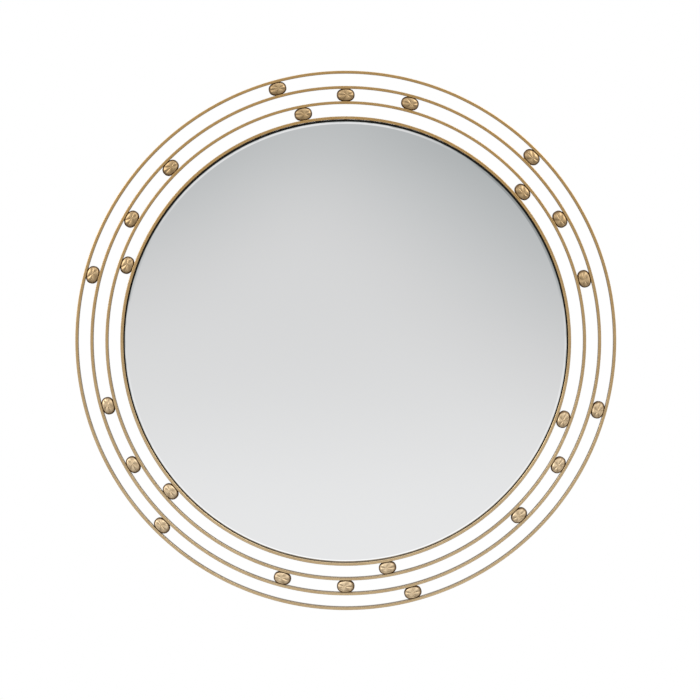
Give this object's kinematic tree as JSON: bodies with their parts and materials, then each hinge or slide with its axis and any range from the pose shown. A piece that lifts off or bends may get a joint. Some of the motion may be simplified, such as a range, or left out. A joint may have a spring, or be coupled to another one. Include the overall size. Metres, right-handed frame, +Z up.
{
  "type": "round wall mirror",
  "caption": "Flat round mirror in an open frame of concentric brass bands held apart by oval cast beads, with swinging hanging rings behind.",
  "frame": {"origin": "on the wall plane, where the wall pads rest, behind the centre of the mirror", "axes": "+Y into the wall, so the glass faces -Y; +Z up; +X to the right as seen from in front"},
  "size_m": [0.9144, 0.0307, 0.9144],
  "materials": {
    "antique_brass": "aged satin brass, with a darker patina in the beads' folds",
    "mirror": "silvered glass with a narrow polished bevel",
    "black_board": "fibreboard painted matt black",
    "mirror_tape": "white foam tape",
    "zinc_steel": "zinc plated",
    "pad_rubber": "matt"
  },
  "bodies": {
    "frame": {"frame_band_1": "antique_brass", "frame_band_2": "antique_brass", "frame_band_3": "antique_brass", "inner_band": "antique_brass", "middle_band": "antique_brass", "outer_band": "antique_brass", "inner_bead_1": "antique_brass", "inner_bead_2": "antique_brass", "inner_bead_3": "antique_brass", "inner_bead_4": "antique_brass", "inner_bead_5": "antique_brass", "inner_bead_6": "antique_brass", "middle_bead_1": "antique_brass", "middle_bead_2": "antique_brass", "middle_bead_3": "antique_brass", "middle_bead_4": "antique_brass", "middle_bead_5": "antique_brass", "middle_bead_6": "antique_brass", "middle_bead_7": "antique_brass", "middle_bead_8": "antique_brass", "middle_bead_9": "antique_brass", "middle_bead_10": "antique_brass", "middle_bead_11": "antique_brass", "middle_bead_12": "antique_brass", "outer_bead_1": "antique_brass", "outer_bead_2": "antique_brass", "outer_bead_3": "antique_brass", "outer_bead_4": "antique_brass", "outer_bead_5": "antique_brass", "outer_bead_6": "antique_brass", "mirror_glass": "mirror", "tape_strip_1": "mirror_tape", "tape_strip_2": "mirror_tape", "tape_strip_3": "mirror_tape", "tape_strip_4": "mirror_tape", "backing_board": "black_board", "board_tab_1": "antique_brass", "board_tab_2": "antique_brass", "board_tab_3": "antique_brass", "board_tab_4": "antique_brass", "board_tab_5": "antique_brass", "board_tab_6": "antique_brass", "tab_screw_1": "zinc_steel", "tab_screw_2": "zinc_steel", "tab_screw_3": "zinc_steel", "tab_screw_4": "zinc_steel", "tab_screw_5": "zinc_steel", "tab_screw_6": "zinc_steel", "left_hanger_strap": "zinc_steel", "left_hanger_screw_1": "zinc_steel", "left_hanger_screw_2": "zinc_steel", "right_hanger_strap": "zinc_steel", "right_hanger_screw_1": "zinc_steel", "right_hanger_screw_2": "zinc_steel", "wall_pad_1": "pad_rubber", "wall_pad_2": "pad_rubber", "wall_pad_3": "pad_rubber", "wall_pad_4": "pad_rubber"},
    "left_ring": {"left_hanging_ring": "zinc_steel"},
    "right_ring": {"right_hanging_ring": "zinc_steel"}
  },
  "joints": [
    {"name": "left_ring_swing", "type": "hinge", "parent": "frame", "child": "left_ring", "pos_m": [-0.20191, -0.00365, 0.20191], "axis": [1, 0, 0], "range_deg": [0, 178]},
    {"name": "right_ring_swing", "type": "hinge", "parent": "frame", "child": "right_ring", "pos_m": [0.20191, -0.00365, 0.20191], "axis": [1, 0, 0], "range_deg": [0, 178]}
  ]
}
